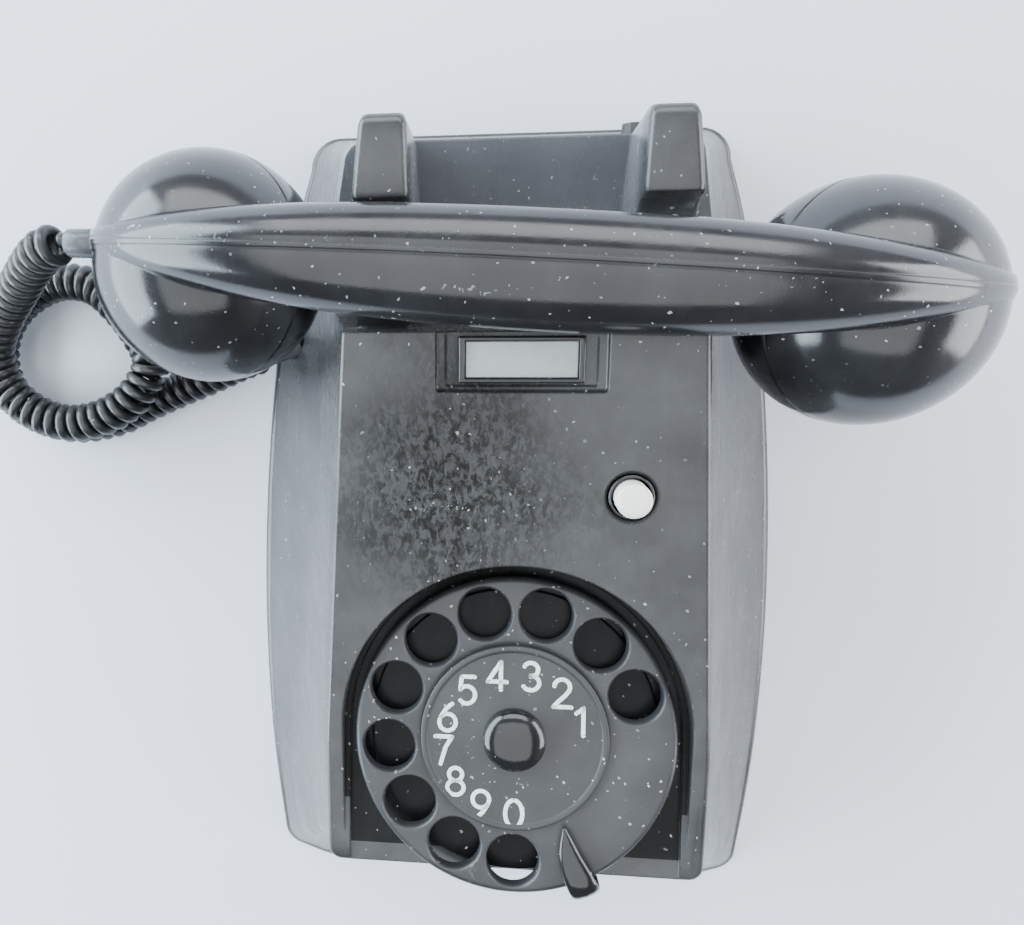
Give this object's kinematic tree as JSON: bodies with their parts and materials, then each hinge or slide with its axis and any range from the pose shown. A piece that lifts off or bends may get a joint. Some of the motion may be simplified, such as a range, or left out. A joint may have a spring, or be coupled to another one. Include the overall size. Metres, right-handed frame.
{
  "type": "rotary telephone",
  "caption": "Black wall telephone with a rotary dial, lying on its back, with its handset in the cradle and a short curly cord",
  "frame": {"origin": "middle of the flat back plate", "axes": "+Z out of the front of the telephone, +Y towards its top, +X to the right seen from the front"},
  "size_m": [0.2649, 0.2285, 0.08],
  "materials": {
    "housing": "worn black moulding, satin with dust",
    "back_plate": "plain steel",
    "back_screw_1": "plain steel",
    "back_screw_2": "plain steel",
    "back_screw_3": "plain steel",
    "back_screw_4": "plain steel",
    "finger_wheel": "satin black",
    "number_disc": "satin black",
    "hub_cap": "polished black moulding",
    "dial_shaft": "plain steel",
    "dial_plate": "satin black",
    "dial_case": "plain steel",
    "main_gear": "plain brass",
    "pulse_cam": "plain brass",
    "governor": "plain brass",
    "return_spring_drum": "plain steel",
    "pulse_contacts": "brown insulating board",
    "finger_stop": "polished black moulding",
    "card_frame": "worn black moulding, satin with dust",
    "number_card": "grey-white card",
    "card_window": "clear window",
    "earth_button_collar": "worn black moulding, satin with dust",
    "earth_button": "cream-white",
    "earth_button_spring": "plain steel",
    "earth_contact": "brown insulating board",
    "cradle_plunger_left": "polished black moulding",
    "cradle_plunger_right": "polished black moulding",
    "hook_lever": "plain steel",
    "hook_contacts": "brown insulating board",
    "gong_left": "plain steel",
    "gong_right": "plain steel",
    "gong_post_left": "plain steel",
    "gong_post_right": "plain steel",
    "ringer_coil_left": "enamelled wire winding",
    "ringer_coil_right": "enamelled wire winding",
    "ringer_yoke": "plain steel",
    "clapper": "plain brass",
    "induction_coil": "enamelled wire winding",
    "capacitor": "plain steel",
    "terminal_block": "brown insulating board",
    "line_inlet_grommet": "satin black cord covering",
    "cord_grommet": "satin black cord covering",
    "handset_shell": "polished black moulding",
    "ear_cap": "polished black moulding",
    "mouth_cap": "polished black moulding",
    "receiver_capsule": "plain steel",
    "transmitter_capsule": "plain steel",
    "cord_sleeve": "satin black cord covering",
    "handset_cord": "satin black cord covering"
  },
  "bodies": {
    "root": {"housing": "housing", "back_plate": "back_plate", "back_screw_1": "back_screw_1", "back_screw_2": "back_screw_2", "back_screw_3": "back_screw_3", "back_screw_4": "back_screw_4", "dial_plate": "dial_plate", "dial_case": "dial_case", "return_spring_drum": "return_spring_drum", "pulse_contacts": "pulse_contacts", "finger_stop": "finger_stop", "card_frame": "card_frame", "number_card": "number_card", "card_window": "card_window", "earth_button_collar": "earth_button_collar", "earth_button_spring": "earth_button_spring", "earth_contact": "earth_contact", "hook_contacts": "hook_contacts", "gong_left": "gong_left", "gong_right": "gong_right", "gong_post_left": "gong_post_left", "gong_post_right": "gong_post_right", "ringer_coil_left": "ringer_coil_left", "ringer_coil_right": "ringer_coil_right", "ringer_yoke": "ringer_yoke", "induction_coil": "induction_coil", "capacitor": "capacitor", "terminal_block": "terminal_block", "line_inlet_grommet": "line_inlet_grommet", "cord_grommet": "cord_grommet", "handset_cord": "handset_cord"},
    "dial": {"finger_wheel": "finger_wheel", "number_disc": "number_disc", "hub_cap": "hub_cap", "dial_shaft": "dial_shaft", "main_gear": "main_gear"},
    "pulse_drive": {"pulse_cam": "pulse_cam"},
    "governor_spindle": {"governor": "governor"},
    "button": {"earth_button": "earth_button"},
    "handset": {"handset_shell": "handset_shell", "ear_cap": "ear_cap", "mouth_cap": "mouth_cap", "receiver_capsule": "receiver_capsule", "transmitter_capsule": "transmitter_capsule", "cord_sleeve": "cord_sleeve"},
    "plunger_left": {"cradle_plunger_left": "cradle_plunger_left"},
    "plunger_right": {"cradle_plunger_right": "cradle_plunger_right"},
    "lever": {"hook_lever": "hook_lever"},
    "striker": {"clapper": "clapper"}
  },
  "joints": [
    {"name": "dial_turn", "type": "hinge", "parent": "root", "child": "dial", "pos_m": [0, -0.0365, 0.0613], "axis": [0, 0.1564, 0.9877], "range_deg": [-320, 0], "stiffness_Nm_per_rad": 0.004},
    {"name": "pulse_turn", "type": "hinge", "parent": "root", "child": "pulse_drive", "pos_m": [0.024, -0.03869, 0.04747], "axis": [0, 0.1564, 0.9877], "continuous": true},
    {"name": "governor_turn", "type": "hinge", "parent": "root", "child": "governor_spindle", "pos_m": [-0.01543, -0.02053, 0.0446], "axis": [0, 0.1564, 0.9877], "continuous": true},
    {"name": "earth_press", "type": "slide", "parent": "root", "child": "button", "axis": [0, 0, 1], "range_m": [-0.003, 0], "stiffness_N_per_m": 300, "deforming": ["earth_button_spring"]},
    {"name": "handset_lift", "type": "slide", "parent": "root", "child": "handset", "axis": [0, 0, 1], "range_m": [0, 0.15]},
    {"name": "plunger_left_rise", "type": "slide", "parent": "root", "child": "plunger_left", "axis": [0, 0, 1], "range_m": [0, 0.003]},
    {"name": "plunger_right_rise", "type": "slide", "parent": "root", "child": "plunger_right", "axis": [0, 0, 1], "range_m": [0, 0.003]},
    {"name": "hook_lever_turn", "type": "hinge", "parent": "root", "child": "lever", "pos_m": [0, 0.0525, 0.0218], "axis": [1, 0, 0], "range_deg": [0, 8.7]},
    {"name": "clapper_swing", "type": "hinge", "parent": "root", "child": "striker", "pos_m": [0, 0.03, 0.044], "axis": [0, 1, 0], "range_deg": [-4, 4]}
  ],
  "couplings": [
    {"joint": "pulse_turn", "follows": "dial_turn", "ratio": -5},
    {"joint": "governor_turn", "follows": "dial_turn", "ratio": -5},
    {"joint": "plunger_left_rise", "follows": "handset_lift", "ratio": 0.02},
    {"joint": "plunger_right_rise", "follows": "handset_lift", "ratio": 0.02},
    {"joint": "hook_lever_turn", "follows": "handset_lift", "rad_per_m": 1}
  ]
}
